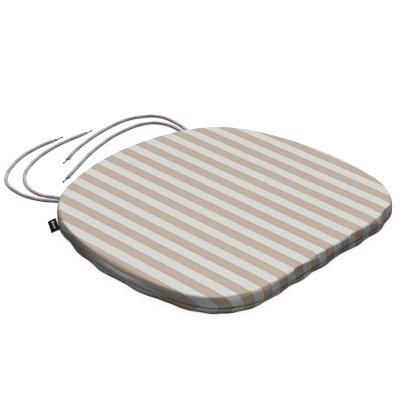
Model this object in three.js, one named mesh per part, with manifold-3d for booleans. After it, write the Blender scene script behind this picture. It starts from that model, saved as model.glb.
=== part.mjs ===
// Chair seat pad: a striped fabric cover over a foam pad, closed by a zip in the back seam.
// A pair of round fabric ties leaves each back corner, and a folded label sits in the left
// part of the back seam. Millimetres, +Z up, +Y to the back of the chair, +X to the right.
// The origin is the middle of the underside.

import * as THREE from "three";
import { mergeVertices } from "three/addons/utils/BufferGeometryUtils.js";
import Module from "manifold-3d";

// ---- Driving dimensions ----

const PAD_DEPTH = 375;
const PAD_THICKNESS = 25;
const SEAM_HEIGHT = 11;

// The seam's outline seen from above: tangent arcs, clockwise from the middle of the back to
// the straight front edge, for the right half. The left half mirrors it.
const SEAM_ARCS = [
  { name: "back", radius: 297, degrees: 22, steps: 9 },
  { name: "back corner", radius: 118, degrees: 48.4, steps: 9 },
  { name: "side", radius: 380, degrees: 33.3, steps: 6 },
  { name: "front corner", radius: 87, degrees: 76.3, steps: 9 },
];
const FRONT_STEPS = 3;

// The cover's wall as [offset from the seam's outline, height], from the seam to the flat.
const UPPER_WALL = [
  [0, SEAM_HEIGHT],
  [-3.2, 20.5],
  [-4.6, 23.4],
  [-8, PAD_THICKNESS],
];
const LOWER_WALL = [
  [0, SEAM_HEIGHT],
  [-4, 2.5],
  [-5.5, 0.6],
  [-9, 0],
];
const COVER_THICKNESS = 0.9;
const SEAM_GAP = 0.4;
const FOAM_INSET = 4.5;
const ROOM_FOR_TAPE = 1;
const CLEARANCE = 0.3;

// The zip follows the back arc. Angles are counted from the middle of the back, in degrees.
const ZIP_RADIUS = SEAM_ARCS[0].radius;
const ZIP_OPENING_HEIGHT = 5.4;
const ZIP_OPENING_END = 19.9;
const ZIP_OPENING_TAPER = 1.6;
const COIL_END = 19.2;
const COIL_WIDTH = 1.3;
const COIL_SPACING = 0.9;
const COIL_DEPTH = [-1.1, 0.2];
const TAPE_END = 20.6;
const TAPE_WIDTH = 7.6;
const TAPE_THICKNESS = 0.5;
const TAPE_DEPTH = 1.4;
const TAPE_LEAN_BEHIND_SLIDER = 0.9;
const STOP_THICKNESS = 0.6;
const STOP_LENGTH = 3;
const SLIDER_LENGTH = 8;
const SLIDER_HEIGHT = 6.4;
const SLIDER_PLATE = 1;
const SLIDER_BACK_HEIGHT = 4.6;
const SLIDER_REST_ANGLE = -17.5;
const POST_WIDTH = 0.5;
const BRIDGE_LENGTH = 6.4;
const BRIDGE_WIDTH = 1.3;
const BRIDGE_RISE = 2.8;
const BRIDGE_THICKNESS = 0.9;
const SLIDER_BACK_PLATE = 0.8;
const SLIDER_POST_LENGTH = 3;
const SOLID_OVERLAP = 0.2;
const PULL_LENGTH = 18;
const PULL_WIDTH = 5.2;
const PULL_THICKNESS = 0.8;
const PULL_WINDOW = { length: 4.4, width: 2.6 };
const PULL_HINGE_HEIGHT = 1.1;
const PULL_HINGE_BAR = 0.9;
const PULL_HOLE_RADIUS = 1.1;

// The ties.
const TIE_DIAMETER = 5;
const TIE_SIDES = 10;
const TIE_STEP = 14;
const LYING_HEIGHT = 2.7;
const BINDING_LENGTH = 3;
const BINDING_RADIUS = 2.1;
const TAIL_LENGTH = 10.5;
const TAIL_RADIUS = 0.75;
const TAIL_KNOT_RADIUS = 1.3;
const LOOP_RADIUS = 1.5;
const LOOP_THREAD = 0.9;

// Each tie's middle line, from the seam to the tie's end. A point with no height lies on
// the surface that the pad stands on.
const TIE_ROUTES = {
  left_outer: [
    [-129.6, 160.5, 11], [-132.6, 170.5, 9], [-135, 184, 5.6], [-137.6, 198, 3.4], [-141, 216],
    [-141.5, 231], [-139, 248], [-134, 260], [-127, 269], [-116, 279], [-103, 287], [-86, 295],
    [-67, 301], [-46, 304], [-25, 304.5], [-8, 302.6],
  ],
  left_inner: [
    [-121.8, 164.6, 11], [-123.4, 175, 9], [-124.6, 188, 5.4], [-126, 204, 3.2], [-125, 219.5],
    [-121, 233.5], [-114, 245.5], [-105, 256], [-92.5, 266], [-77, 274], [-57, 281.5],
    [-34, 286.5], [-13, 288.6], [8, 288.6], [35, 286.6],
  ],
  right_outer: [
    [129.6, 160.5, 11], [134.5, 170, 9], [140, 181, 5.6], [145, 194, 3.4], [149, 211.5],
    [150, 227.5], [148.5, 241.5], [143, 252.5], [135, 260.5], [121, 269], [102, 274.6], [80, 275.4],
    [55, 273.4], [31, 269.4], [-4, 260.4], [-32, 248.6],
  ],
  right_inner: [
    [121.8, 164.6, 11], [127, 174.5, 9], [132.4, 185, 5.4], [136, 197.6, 3.4], [137.2, 215.5],
    [134, 227.6], [128, 237.4], [118.5, 244.6], [102, 250.2], [80, 251.8], [56, 250.8],
    [27, 244.8], [-1, 236.8], [-40, 221], [-68, 209.4],
  ],
};

// The label, at the left part of the back seam.
const LABEL_WIDTH = 29;
const LABEL_LENGTH = 11.5;
const LABEL_PLY = 0.35;
const LABEL_FOLD_GAP = 0.25;
const LABEL_DROOP = 16;
const LABEL_ALONG_BACK_CORNER = 0.75;

// ---- Materials ----

function material(colour, roughness, metalness = 0) {
  return new THREE.MeshStandardMaterial({ color: colour, roughness, metalness });
}

const COVER_CLOTH = material("#cdbfb0", 0.9);
const TIE_CLOTH = material("#c9c2bb", 0.9);
const FOAM = material("#efe6c8", 0.95);
const LABEL_CLOTH = material("#101010", 0.8);
const ZIP_CLOTH = material("#c6b8aa", 0.85);
const ZIP_NYLON = material("#d3c8bb", 0.45);
const ZIP_METAL = material("#a9a7a2", 0.35, 1);
const BINDING_THREAD = material("#55564f", 0.85);

// ---- Helpers ----

const wasm = await Module();
wasm.setup();
const pad = new THREE.Group();
const radians = THREE.MathUtils.degToRad;

function addPiece(name, geometry, finish, parent = pad) {
  const mesh = new THREE.Mesh(geometry, finish);
  mesh.name = name;
  parent.add(mesh);
  return mesh;
}

function toSolid(geometry) {
  const bare = geometry.index ? geometry.toNonIndexed() : geometry.clone();
  bare.deleteAttribute("normal");
  bare.deleteAttribute("uv");
  const merged = mergeVertices(bare, 1e-3);
  return new wasm.Manifold(new wasm.Mesh({
    numProp: 3,
    vertProperties: merged.attributes.position.array,
    triVerts: new Uint32Array(merged.index.array),
  }));
}

function joined(geometries) {
  const whole = geometries.map(toSolid).reduce((sum, next) => sum.add(next));
  const mesh = whole.getMesh();
  const geometry = new THREE.BufferGeometry();
  geometry.setAttribute("position", new THREE.Float32BufferAttribute(mesh.vertProperties, 3));
  geometry.setIndex([...mesh.triVerts]);
  geometry.computeVertexNormals();
  return geometry;
}

// A box by its middle and sizes.
function box(x, y, z, width, depth, height) {
  return new THREE.BoxGeometry(width, depth, height).translate(x, y, z);
}

// ---- The outline of the seam ----

// A place on the seam: its point, its outward normal, and how far the zip opening parts the
// two panels there, from 0 to 1.
function seamPlace(x, y, headingDegrees, opening) {
  const heading = radians(headingDegrees);
  return { x, y, nx: Math.sin(heading), ny: Math.cos(heading), opening };
}

// The right half of the seam, clockwise from the middle of the back to the front edge's middle.
function rightHalfOfSeam() {
  const places = [];
  let heading = 0;
  let centreX = 0;
  let centreY = PAD_DEPTH / 2 - SEAM_ARCS[0].radius;
  let before = SEAM_ARCS[0].radius;
  for (const { name, radius, degrees, steps } of SEAM_ARCS) {
    const turned = radians(heading);
    centreX += (before - radius) * Math.sin(turned);
    centreY += (before - radius) * Math.cos(turned);
    before = radius;
    const first = places.length === 0 ? 0 : 1;
    for (let step = first; step <= steps; step++) {
      const here = heading + (degrees * step) / steps;
      const angle = radians(here);
      const fade = (ZIP_OPENING_END + ZIP_OPENING_TAPER / 2 - here) / ZIP_OPENING_TAPER;
      const opening = name === "back" ? THREE.MathUtils.clamp(fade, 0, 1) : 0;
      const x = centreX + radius * Math.sin(angle);
      const y = centreY + radius * Math.cos(angle);
      places.push(seamPlace(x, y, here, opening));
    }
    heading += degrees;
  }
  const corner = places[places.length - 1];
  for (let step = 1; step <= FRONT_STEPS; step++) {
    places.push(seamPlace(corner.x * (1 - step / FRONT_STEPS), corner.y, 180, 0));
  }
  return places;
}

function wholeSeam() {
  const right = rightHalfOfSeam();
  const left = right.slice(1, -1).reverse().map((place) => ({ ...place, x: -place.x, nx: -place.nx }));
  return [...right, ...left];
}

const SEAM = wholeSeam();
const ZIP_CENTRE_Y = PAD_DEPTH / 2 - ZIP_RADIUS;

// A closed body whose section is carried round the seam. The section lists [offset, height]
// pairs, and its first and last rings are closed by fans to the pad's middle.
function carriedRoundSeam(section) {
  const positions = [];
  const faces = [];
  const rows = section(SEAM[0]).length;
  SEAM.forEach((place) => {
    for (const [offset, height] of section(place)) {
      positions.push(place.x + place.nx * offset, place.y + place.ny * offset, height);
    }
  });
  const firstMiddle = positions.length / 3;
  const heights = section(SEAM[0]).map(([, height]) => height);
  positions.push(0, 0, heights[0], 0, 0, heights[rows - 1]);
  SEAM.forEach((_, column) => {
    const here = column * rows;
    const next = ((column + 1) % SEAM.length) * rows;
    for (let row = 0; row < rows - 1; row++) {
      faces.push(here + row, next + row + 1, here + row + 1);
      faces.push(here + row, next + row, next + row + 1);
    }
    faces.push(firstMiddle, next, here);
    faces.push(firstMiddle + 1, here + rows - 1, next + rows - 1);
  });
  const geometry = new THREE.BufferGeometry();
  geometry.setAttribute("position", new THREE.Float32BufferAttribute(positions, 3));
  geometry.setIndex(faces);
  geometry.computeVertexNormals();
  return geometry;
}

// A wall's line moved towards the inside of the pad by a distance.
function insideOf(wall, distance, side) {
  return wall.map(([offset, height], i) => {
    const [o1, h1] = wall[Math.max(i - 1, 0)];
    const [o2, h2] = wall[Math.min(i + 1, wall.length - 1)];
    const length = Math.hypot(o2 - o1, h2 - h1);
    const last = i === wall.length - 1;
    const inwards = last ? 0 : Math.abs(h2 - h1) / length;
    const towardsMiddle = last ? 1 : Math.abs(o2 - o1) / length;
    return [offset - distance * inwards, height - side * distance * towardsMiddle];
  });
}

// A panel's wall starts at the seam, and in the zip's opening further along the wall.
function wallFromSeam(wall, place) {
  const parting = (SEAM_GAP + (ZIP_OPENING_HEIGHT - SEAM_GAP) * place.opening) / 2;
  const [[o1, h1], [o2, h2]] = wall;
  const along = parting / Math.abs(h2 - h1);
  return [[o1 + (o2 - o1) * along, h1 + (h2 - h1) * along], ...wall.slice(1)];
}

// ---- Cover and foam ----

function coverPanel(wall, side) {
  return carriedRoundSeam((place) => {
    const outside = wallFromSeam(wall, place);
    const inside = insideOf(outside, COVER_THICKNESS, side);
    inside[0][1] = outside[0][1];
    const section = [...outside.reverse(), ...inside];
    return side > 0 ? section : section.reverse();
  });
}

function foamCore() {
  return carriedRoundSeam(() => {
    const gap = COVER_THICKNESS + CLEARANCE;
    const upper = insideOf(UPPER_WALL, gap, 1).reverse();
    const lower = insideOf(LOWER_WALL, gap, -1).slice(1);
    const line = [...upper, ...lower];
    return line.map(([offset, height]) => [Math.min(offset - ROOM_FOR_TAPE, -FOAM_INSET), height]);
  });
}

addPiece("top_cover", coverPanel(UPPER_WALL, 1), COVER_CLOTH);
addPiece("bottom_cover", coverPanel(LOWER_WALL, -1), COVER_CLOTH);
addPiece("foam_core", foamCore(), FOAM);

// ---- Zip ----

// A bar with a convex section of [offset from the zip's arc, height] points, anticlockwise
// seen along the arc, bent round the back of the pad.
function bentBar(section, fromDegrees, toDegrees, steps) {
  const positions = [];
  const faces = [];
  const rows = section.length;
  for (let step = 0; step <= steps; step++) {
    const angle = radians(fromDegrees + ((toDegrees - fromDegrees) * step) / steps);
    for (const [offset, height] of section) {
      const reach = ZIP_RADIUS + offset;
      positions.push(reach * Math.sin(angle), ZIP_CENTRE_Y + reach * Math.cos(angle), height);
    }
  }
  for (let step = 0; step < steps; step++) {
    for (let row = 0; row < rows; row++) {
      const here = step * rows;
      const next = here + rows;
      const after = (row + 1) % rows;
      faces.push(here + row, next + after, next + row);
      faces.push(here + row, here + after, next + after);
    }
  }
  const end = steps * rows;
  for (let row = 1; row < rows - 1; row++) {
    faces.push(0, row + 1, row);
    faces.push(end, end + row, end + row + 1);
  }
  const geometry = new THREE.BufferGeometry();
  geometry.setAttribute("position", new THREE.Float32BufferAttribute(positions, 3));
  geometry.setIndex(faces);
  geometry.computeVertexNormals();
  return geometry;
}

// A rectangle between two offsets and two heights, for bentBar.
function rectangle([inner, outer], [low, high]) {
  return [[inner, low], [outer, low], [outer, high], [inner, high]];
}

const COIL_EDGE = COIL_SPACING / 2;
const STOP_DEPTH = [COIL_DEPTH[1] + CLEARANCE, COIL_DEPTH[1] + CLEARANCE + STOP_THICKNESS];
const STOP_DEGREES = THREE.MathUtils.radToDeg(STOP_LENGTH / ZIP_RADIUS);
const ARC_STEPS = 16;

for (const [name, side, wall] of [["upper", 1, UPPER_WALL], ["lower", -1, LOWER_WALL]]) {
  const heights = (from, to) => [SEAM_HEIGHT + side * from, SEAM_HEIGHT + side * to].sort((a, b) => a - b);
  const coil = rectangle(COIL_DEPTH, heights(COIL_EDGE, COIL_EDGE + COIL_WIDTH));
  addPiece(`zip_coil_${name}`, bentBar(coil, -COIL_END, COIL_END, ARC_STEPS), ZIP_NYLON);

  // The tape lies flat behind the cover's wall, leaning as the wall does.
  const lean = (wall[1][0] - wall[0][0]) / Math.abs(wall[1][1] - wall[0][1]);
  const far = -TAPE_DEPTH + lean * TAPE_WIDTH;
  const nearHeight = SEAM_HEIGHT + side * COIL_EDGE;
  const farHeight = nearHeight + side * TAPE_WIDTH;
  const tape = [
    [-TAPE_DEPTH - TAPE_THICKNESS, nearHeight],
    [-TAPE_DEPTH, nearHeight],
    [far, farHeight],
    [far - TAPE_THICKNESS, farHeight],
  ];
  const turned = side > 0 ? tape : tape.reverse();
  addPiece(`zip_tape_${name}`, bentBar(turned, -TAPE_END, TAPE_END, ARC_STEPS), ZIP_CLOTH);

  const stop = rectangle(STOP_DEPTH, heights(COIL_EDGE, COIL_EDGE + COIL_WIDTH));
  addPiece(`zip_top_stop_${name}`, bentBar(stop, -COIL_END, -COIL_END + STOP_DEGREES, 1), ZIP_METAL);
}

const bottomStopReach = COIL_EDGE + COIL_WIDTH;
const bottomStop = rectangle(
  STOP_DEPTH,
  [SEAM_HEIGHT - bottomStopReach, SEAM_HEIGHT + bottomStopReach],
);
addPiece("zip_bottom_stop", bentBar(bottomStop, COIL_END - STOP_DEGREES, COIL_END, 1), ZIP_METAL);

// The slider and its pull are built at the middle of the back with X along the zip and Y
// outwards from the zip's arc, then carried to the closed end of the zip.
const FRONT_PLATE_Y = COIL_DEPTH[1] + CLEARANCE;
const PLATE_FACE_Y = FRONT_PLATE_Y + SLIDER_PLATE;
const BACK_PLATE_Y = -TAPE_DEPTH - TAPE_THICKNESS - TAPE_LEAN_BEHIND_SLIDER - CLEARANCE;
const HINGE_Y = PLATE_FACE_Y + PULL_HINGE_HEIGHT;

function zipSlider() {
  const postDepth = FRONT_PLATE_Y - BACK_PLATE_Y + 2 * SOLID_OVERLAP;
  const postY = (FRONT_PLATE_Y + BACK_PLATE_Y) / 2;
  const footX = (BRIDGE_LENGTH - BRIDGE_THICKNESS) / 2;
  const footY = PLATE_FACE_Y + (BRIDGE_RISE - SOLID_OVERLAP) / 2;
  const beamY = PLATE_FACE_Y + BRIDGE_RISE - BRIDGE_THICKNESS / 2;
  return joined([
    box(0, FRONT_PLATE_Y + SLIDER_PLATE / 2, 0, SLIDER_LENGTH, SLIDER_PLATE, SLIDER_HEIGHT),
    box(0, BACK_PLATE_Y - SLIDER_BACK_PLATE / 2, 0, SLIDER_LENGTH, SLIDER_BACK_PLATE, SLIDER_BACK_HEIGHT),
    box(0, postY, 0, SLIDER_POST_LENGTH, postDepth, POST_WIDTH),
    box(-footX, footY, 0, BRIDGE_THICKNESS, BRIDGE_RISE + SOLID_OVERLAP, BRIDGE_WIDTH),
    box(footX, footY, 0, BRIDGE_THICKNESS, BRIDGE_RISE + SOLID_OVERLAP, BRIDGE_WIDTH),
    box(0, beamY, 0, BRIDGE_LENGTH, BRIDGE_THICKNESS, BRIDGE_WIDTH),
  ]);
}

// A flat tab with a window round the slider's bridge. Its end bar is the hinge.
function zipPull() {
  const tip = PULL_LENGTH - PULL_WIDTH / 2;
  const tab = new THREE.Shape();
  tab.moveTo(-PULL_HINGE_BAR / 2, -PULL_WIDTH / 2);
  tab.lineTo(tip, -PULL_WIDTH / 2);
  tab.absarc(tip, 0, PULL_WIDTH / 2, -Math.PI / 2, Math.PI / 2);
  tab.lineTo(-PULL_HINGE_BAR / 2, PULL_WIDTH / 2);
  tab.closePath();
  const window = new THREE.Path();
  window.moveTo(PULL_HINGE_BAR / 2, -PULL_WINDOW.width / 2);
  window.lineTo(PULL_HINGE_BAR / 2, PULL_WINDOW.width / 2);
  window.lineTo(PULL_HINGE_BAR / 2 + PULL_WINDOW.length, PULL_WINDOW.width / 2);
  window.lineTo(PULL_HINGE_BAR / 2 + PULL_WINDOW.length, -PULL_WINDOW.width / 2);
  window.closePath();
  const hole = new THREE.Path().absarc(tip, 0, PULL_HOLE_RADIUS, 0, 2 * Math.PI);
  tab.holes.push(window, hole);
  const sheet = { depth: PULL_THICKNESS, bevelEnabled: false, curveSegments: 8 };
  return new THREE.ExtrudeGeometry(tab, sheet)
    .translate(0, 0, -PULL_THICKNESS / 2)
    .rotateX(Math.PI / 2);
}

const zipHub = new THREE.Group();
zipHub.position.set(0, ZIP_CENTRE_Y, SEAM_HEIGHT);
zipHub.rotation.z = radians(-SLIDER_REST_ANGLE);
pad.add(zipHub);
addPiece("zip_slider", zipSlider(), ZIP_METAL, zipHub).position.y = ZIP_RADIUS;
addPiece("zip_pull", zipPull(), ZIP_METAL, zipHub).position.y = ZIP_RADIUS + HINGE_Y;

// ---- Ties ----

// A regular section of the tie, for the extrusion along its route.
function tieSection() {
  const corners = [];
  for (let side = 0; side < TIE_SIDES; side++) {
    const angle = (2 * Math.PI * side) / TIE_SIDES;
    corners.push(new THREE.Vector2(Math.cos(angle), Math.sin(angle)).multiplyScalar(TIE_DIAMETER / 2));
  }
  return new THREE.Shape(corners);
}

// A thread tail with a knot at its end, along +Y from the origin.
function threadTail() {
  const knotStart = TAIL_LENGTH - 2 * TAIL_KNOT_RADIUS;
  const profile = [
    [0, 0],
    [TAIL_RADIUS, 0],
    [TAIL_RADIUS, knotStart],
    [TAIL_KNOT_RADIUS, knotStart + TAIL_KNOT_RADIUS * 0.6],
    [TAIL_KNOT_RADIUS, knotStart + TAIL_KNOT_RADIUS * 1.4],
    [0, TAIL_LENGTH],
  ];
  return new THREE.LatheGeometry(profile.map(([x, y]) => new THREE.Vector2(x, y)), 8);
}

// The wrapped thread on a tie's end, along +Y from the origin, with a loop to one side.
function endBinding(loopSide) {
  const profile = [
    [0, 0],
    [BINDING_RADIUS, 0],
    [BINDING_RADIUS, BINDING_LENGTH * 0.6],
    [BINDING_RADIUS * 0.6, BINDING_LENGTH],
    [0, BINDING_LENGTH],
  ];
  const wrap = new THREE.LatheGeometry(profile.map(([x, y]) => new THREE.Vector2(x, y)), 10);
  const ring = new THREE.Shape().absarc(0, 0, LOOP_RADIUS + LOOP_THREAD / 2, 0, 2 * Math.PI);
  ring.holes.push(new THREE.Path().absarc(0, 0, LOOP_RADIUS - LOOP_THREAD / 2, 0, 2 * Math.PI));
  const flat = { depth: LOOP_THREAD, bevelEnabled: false, curveSegments: 10 };
  const reach = loopSide * (BINDING_RADIUS + LOOP_RADIUS - LOOP_THREAD / 2);
  const loop = new THREE.ExtrudeGeometry(ring, flat).translate(reach, BINDING_LENGTH / 2, -LOOP_THREAD / 2);
  return joined([wrap, loop]);
}

for (const [name, route] of Object.entries(TIE_ROUTES)) {
  const points = route.map(([x, y, z = LYING_HEIGHT]) => new THREE.Vector3(x, y, z));
  const curve = new THREE.CatmullRomCurve3(points, false, "centripetal");
  const steps = Math.round(curve.getLength() / TIE_STEP);
  const tube = new THREE.ExtrudeGeometry(tieSection(), { steps, extrudePath: curve, curveSegments: 1 });
  addPiece(`tie_${name}`, tube, TIE_CLOTH);

  const end = points[points.length - 1];
  const onwards = curve.getTangentAt(1);
  const bindingStart = CLEARANCE;
  const tailStart = bindingStart + BINDING_LENGTH + CLEARANCE;
  const tipEnd = new THREE.Group();
  tipEnd.position.copy(end);
  tipEnd.quaternion.setFromUnitVectors(new THREE.Vector3(0, 1, 0), onwards);
  pad.add(tipEnd);
  const loopSide = name.startsWith("left") ? -1 : 1;
  addPiece(`end_binding_${name}`, endBinding(loopSide), BINDING_THREAD, tipEnd).position.y = bindingStart;
  addPiece(`thread_tail_${name}`, threadTail(), BINDING_THREAD, tipEnd).position.y = tailStart;
}

// ---- Label ----

// A strip folded in two: two plies joined by a fold at the free edge.
function foldedLabel() {
  const depth = 2 * LABEL_PLY + LABEL_FOLD_GAP;
  const fold = depth / 2;
  const strip = new THREE.Shape();
  strip.moveTo(0, -fold);
  strip.lineTo(LABEL_LENGTH - fold, -fold);
  strip.absarc(LABEL_LENGTH - fold, 0, fold, -Math.PI / 2, Math.PI / 2);
  strip.lineTo(0, fold);
  strip.lineTo(0, LABEL_FOLD_GAP / 2);
  strip.lineTo(LABEL_LENGTH - fold, LABEL_FOLD_GAP / 2);
  strip.lineTo(LABEL_LENGTH - fold, -LABEL_FOLD_GAP / 2);
  strip.lineTo(0, -LABEL_FOLD_GAP / 2);
  strip.closePath();
  const width = { depth: LABEL_WIDTH, bevelEnabled: false, curveSegments: 4 };
  return new THREE.ExtrudeGeometry(strip, width).translate(0, 0, -LABEL_WIDTH / 2).rotateX(Math.PI / 2);
}

// The place on the left back corner's arc, as a share of that arc from the back to the side.
function leftBackCornerPlace(share) {
  const [back, corner] = SEAM_ARCS;
  const turned = radians(back.degrees);
  const centreX = (back.radius - corner.radius) * Math.sin(turned);
  const centreY = ZIP_CENTRE_Y + (back.radius - corner.radius) * Math.cos(turned);
  const heading = back.degrees + corner.degrees * share;
  const angle = radians(heading);
  return {
    x: -(centreX + corner.radius * Math.sin(angle)),
    y: centreY + corner.radius * Math.cos(angle),
    heading,
  };
}

const labelPlace = leftBackCornerPlace(LABEL_ALONG_BACK_CORNER);
const labelRoot = new THREE.Group();
labelRoot.position.set(labelPlace.x, labelPlace.y, SEAM_HEIGHT);
labelRoot.rotation.z = radians(90 + labelPlace.heading);
pad.add(labelRoot);
const label = addPiece("side_label", foldedLabel(), LABEL_CLOTH, labelRoot);
label.position.x = 2 * CLEARANCE;
label.rotation.y = radians(LABEL_DROOP);

export default pad;
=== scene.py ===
# %% [markdown]
# # A tie-on chair seat pad
# The pad is a thin foam block inside a striped cover. The cover is two panels sewn together
# along one seam half-way up the edge, with a zip in the back of that seam. Two round ties
# leave each back corner, and a small folded label hangs from the left part of the seam.
# Every length below is in metres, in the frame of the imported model: X runs across the pad,
# Y towards the back of the chair and Z up, with the origin under the pad's middle.

import math

import bpy
import numpy as np
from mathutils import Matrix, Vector, noise


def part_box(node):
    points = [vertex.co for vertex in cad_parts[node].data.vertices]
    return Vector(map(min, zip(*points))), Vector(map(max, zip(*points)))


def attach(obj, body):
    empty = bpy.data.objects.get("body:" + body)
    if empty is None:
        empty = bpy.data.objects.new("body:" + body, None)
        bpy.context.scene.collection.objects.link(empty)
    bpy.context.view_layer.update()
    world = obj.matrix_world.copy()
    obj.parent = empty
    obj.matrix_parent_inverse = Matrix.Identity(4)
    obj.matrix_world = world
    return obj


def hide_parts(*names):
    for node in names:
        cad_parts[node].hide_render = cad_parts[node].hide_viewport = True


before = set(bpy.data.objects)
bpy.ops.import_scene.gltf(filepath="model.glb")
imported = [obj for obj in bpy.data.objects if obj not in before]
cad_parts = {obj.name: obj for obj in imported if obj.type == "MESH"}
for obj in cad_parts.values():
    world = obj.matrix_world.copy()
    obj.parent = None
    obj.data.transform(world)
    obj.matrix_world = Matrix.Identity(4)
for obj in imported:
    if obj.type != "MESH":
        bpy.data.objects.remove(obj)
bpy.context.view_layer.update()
MM = 0.001
TINY = 1e-6
UP = Vector((0, 0, 1))
scene = bpy.context.scene

# %% [markdown]
# ## The camera
# A flat object is best seen through a long lens from well above, so that its outline isn't
# stretched by perspective. The camera is placed by its own position and aimed by an azimuth
# and an elevation. A target empty would also work, but two angles say exactly what the
# view is.

# %% Camera
VIEW_AZIMUTH = math.radians(-46.54)
VIEW_ELEVATION = math.radians(30.5)
LENS_LENGTH_MM = 135.9
CAMERA_PLACE = Vector((-1.246, -1.1564, 1.024))

camera_data = bpy.data.cameras.new("view_camera")
camera_data.lens = LENS_LENGTH_MM
camera = bpy.data.objects.new("view_camera", camera_data)
scene.collection.objects.link(camera)
towards_camera = Vector((
    math.sin(VIEW_AZIMUTH) * math.cos(VIEW_ELEVATION),
    -math.cos(VIEW_AZIMUTH) * math.cos(VIEW_ELEVATION),
    math.sin(VIEW_ELEVATION),
))
camera.location = CAMERA_PLACE
camera.rotation_mode = "QUATERNION"
camera.rotation_quaternion = (-towards_camera).to_track_quat("-Z", "Y")
scene.camera = camera
print("camera at", tuple(round(v, 3) for v in CAMERA_PLACE))

# %% [markdown]
# ## Small mesh helpers
# Nearly all the pieces are made the same way: a list of points, a list of faces, and one
# UV map in metres. UVs in real lengths let every cloth share one weave at one scale, on
# the flat of a panel and on its turned edge alike.

# %% Mesh from points, faces and lengths
UV_NAME = "cloth"


def new_piece(name, points, faces, uvs=None):
    """A smooth mesh object from points and faces, with an optional UV pair for each point."""
    mesh = bpy.data.meshes.new(name)
    mesh.from_pydata([tuple(p) for p in points], [], faces)
    if uvs is not None:
        layer = mesh.uv_layers.new(name=UV_NAME)
        for loop in mesh.loops:
            layer.data[loop.index].uv = uvs[loop.vertex_index]
    mesh.polygons.foreach_set("use_smooth", [True] * len(mesh.polygons))
    piece = bpy.data.objects.new(name, mesh)
    scene.collection.objects.link(piece)
    return piece


def grid_faces(columns, rows, closed):
    """Quads between neighbouring columns of points, round to the first column if closed."""
    faces = []
    for c in range(columns if closed else columns - 1):
        here, after = c * rows, (c + 1) % columns * rows
        for r in range(rows - 1):
            faces.append((here + r, here + r + 1, after + r + 1, after + r))
    return faces


def tube_faces(rings, sides):
    """Quads between neighbouring rings of a tube."""
    faces = []
    for c in range(rings - 1):
        here, after = c * sides, (c + 1) * sides
        for s in range(sides):
            n = (s + 1) % sides
            faces.append((here + s, after + s, after + n, here + n))
    return faces


def ring_round(middle, side, up, width, height, sides):
    """Points of one ring of a tube, and the angle of each."""
    angles = [2 * math.pi * s / sides for s in range(sides)]
    return [
        middle + side * (math.cos(a) * width) + up * (math.sin(a) * height) for a in angles], angles


# %% Smooth lines
CURVE_STEPS = 24


def smooth_line(points, step):
    """A centripetal curve through the points, as points an even step apart."""
    p = [Vector(q) for q in points]
    p = [2 * p[0] - p[1]] + p + [2 * p[-1] - p[-2]]
    dense = []
    for a, b, c, d in zip(p, p[1:], p[2:], p[3:]):
        before, here, after = [(v - u).length ** 0.5 for u, v in ((a, b), (b, c), (c, d))]
        leave = ((b - a) / before - (c - a) / (before + here) + (c - b) / here) * here
        arrive = ((c - b) / here - (d - b) / (here + after) + (d - c) / after) * here
        for i in range(CURVE_STEPS):
            t = i / CURVE_STEPS
            dense.append(
                b * (2 * t**3 - 3 * t**2 + 1) + leave * (t**3 - 2 * t**2 + t)
                + c * (3 * t**2 - 2 * t**3) + arrive * (t**3 - t**2)
            )
    dense.append(p[-2])
    line = np.array(dense)
    along = np.concatenate([[0], np.cumsum(np.linalg.norm(np.diff(line, axis=0), axis=1))])
    count = max(2, round(along[-1] / step) + 1)
    at = np.linspace(0, along[-1], count)
    return np.stack([np.interp(at, along, line[:, k]) for k in range(3)], axis=1), along[-1]


# %% [markdown]
# ## The ties
# Each tie is a narrow strip of the cover cloth, folded lengthways, sewn and turned, so it
# is a soft round cord about 5 mm thick. It leaves the seam in a straight line, sinks to
# the surface under its own weight and lies there in a loose curve. A simulated rope would
# find some curve of its own. A short list of given points keeps the real lie.

# %% Tie routes
TIE_DIAMETER = 5 * MM
LYING_HEIGHT = 2.7
TIE_ROUTES = {
    "left_outer": [
        (-129.6, 160.5, 11), (-132.6, 170.5, 9), (-135, 184, 5.6), (-137.6, 198, 3.4), (-141, 216),
        (-141.5, 231), (-139, 248), (-134, 260), (-127, 269), (-116, 279), (-103, 287), (-86, 295),
        (-67, 301), (-46, 304), (-25, 304.5), (-8, 302.6),
    ],
    "left_inner": [
        (-121.8, 164.6, 11), (-123.4, 175, 9), (-124.6, 188, 5.4), (-126, 204, 3.2), (-125, 219.5),
        (-121, 233.5), (-114, 245.5), (-105, 256), (-92.5, 266), (-77, 274), (-57, 281.5),
        (-34, 286.5), (-13, 288.6), (8, 288.6), (35, 286.6),
    ],
    "right_outer": [
        (129.6, 160.5, 11), (134.5, 170, 9), (140, 181, 5.6), (145, 194, 3.4), (149, 211.5),
        (150, 227.5), (148.5, 241.5), (143, 252.5), (135, 260.5), (121, 269), (102, 274.6),
        (80, 275.4), (55, 273.4), (31, 269.4), (-4, 260.4), (-32, 248.6),
    ],
    "right_inner": [
        (121.8, 164.6, 11), (127, 174.5, 9), (132.4, 185, 5.4), (136, 197.6, 3.4), (137.2, 215.5),
        (134, 227.6), (128, 237.4), (118.5, 244.6), (102, 250.2), (80, 251.8), (56, 250.8),
        (27, 244.8), (-1, 236.8), (-40, 221), (-68, 209.4),
    ],
}


def in_metres(route):
    """A route in metres. A point with no height lies on the surface under the pad."""
    return [Vector((p[0], p[1], p[2] if len(p) > 2 else LYING_HEIGHT)) * MM for p in route]


# %% Ties as turned tubes of cloth
TIE_SIDES = 16
TIE_STEP = 2 * MM
WHIP_LENGTH = 2.8 * MM
GATHER_LENGTH = 3 * MM
GATHERED_SHARE = 0.55
WIDER, FLATTER = 1.03, 0.97
LUMPS = ((0.05, 140), (0.03, 600))
BIAS = 1.2 * MM


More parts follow.
